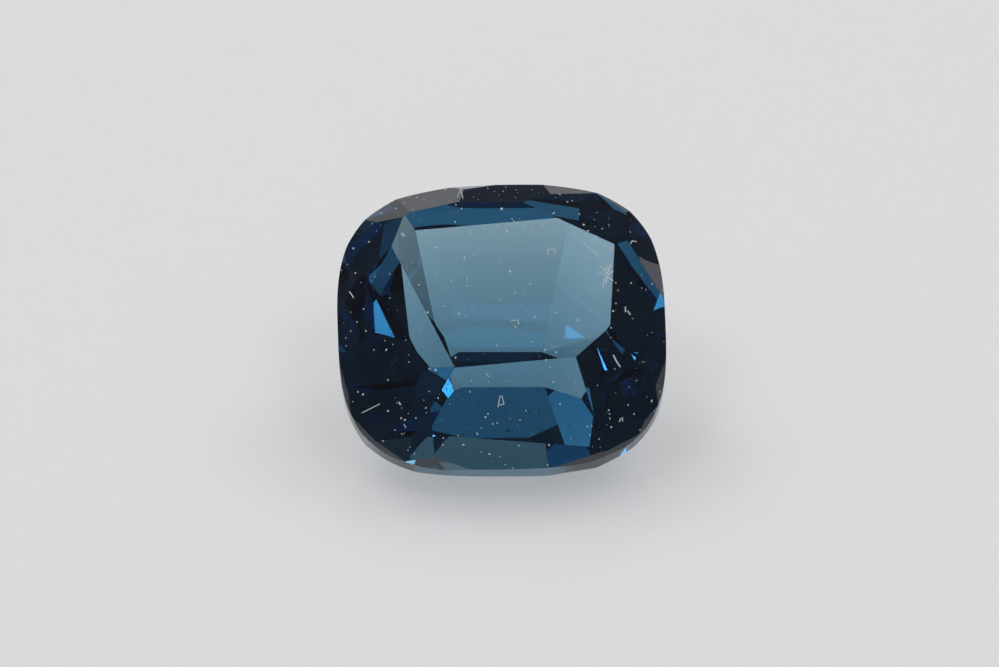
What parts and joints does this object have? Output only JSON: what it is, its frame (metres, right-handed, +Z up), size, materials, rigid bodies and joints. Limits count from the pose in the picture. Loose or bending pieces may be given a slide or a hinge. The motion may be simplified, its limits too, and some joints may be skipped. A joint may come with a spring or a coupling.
{
  "type": "faceted cushion-cut sapphire",
  "caption": "Loose cushion-cut blue sapphire with a broad table, mixed crown facets and a keel pavilion, lying tilted on a pavilion facet beside its keel.",
  "frame": {"origin": "centre of the bounding box on the surface that the stone lies on", "axes": "+Z up, +X along the longer side of the cushion, to the right of a viewer who faces the table, +Y away from that viewer"},
  "size_m": [0.008, 0.0064, 0.0054],
  "materials": {
    "sapphire": "polished, clear, deep steel to teal blue"
  },
  "bodies": {
    "root": {"sapphire": "sapphire"}
  },
  "joints": []
}
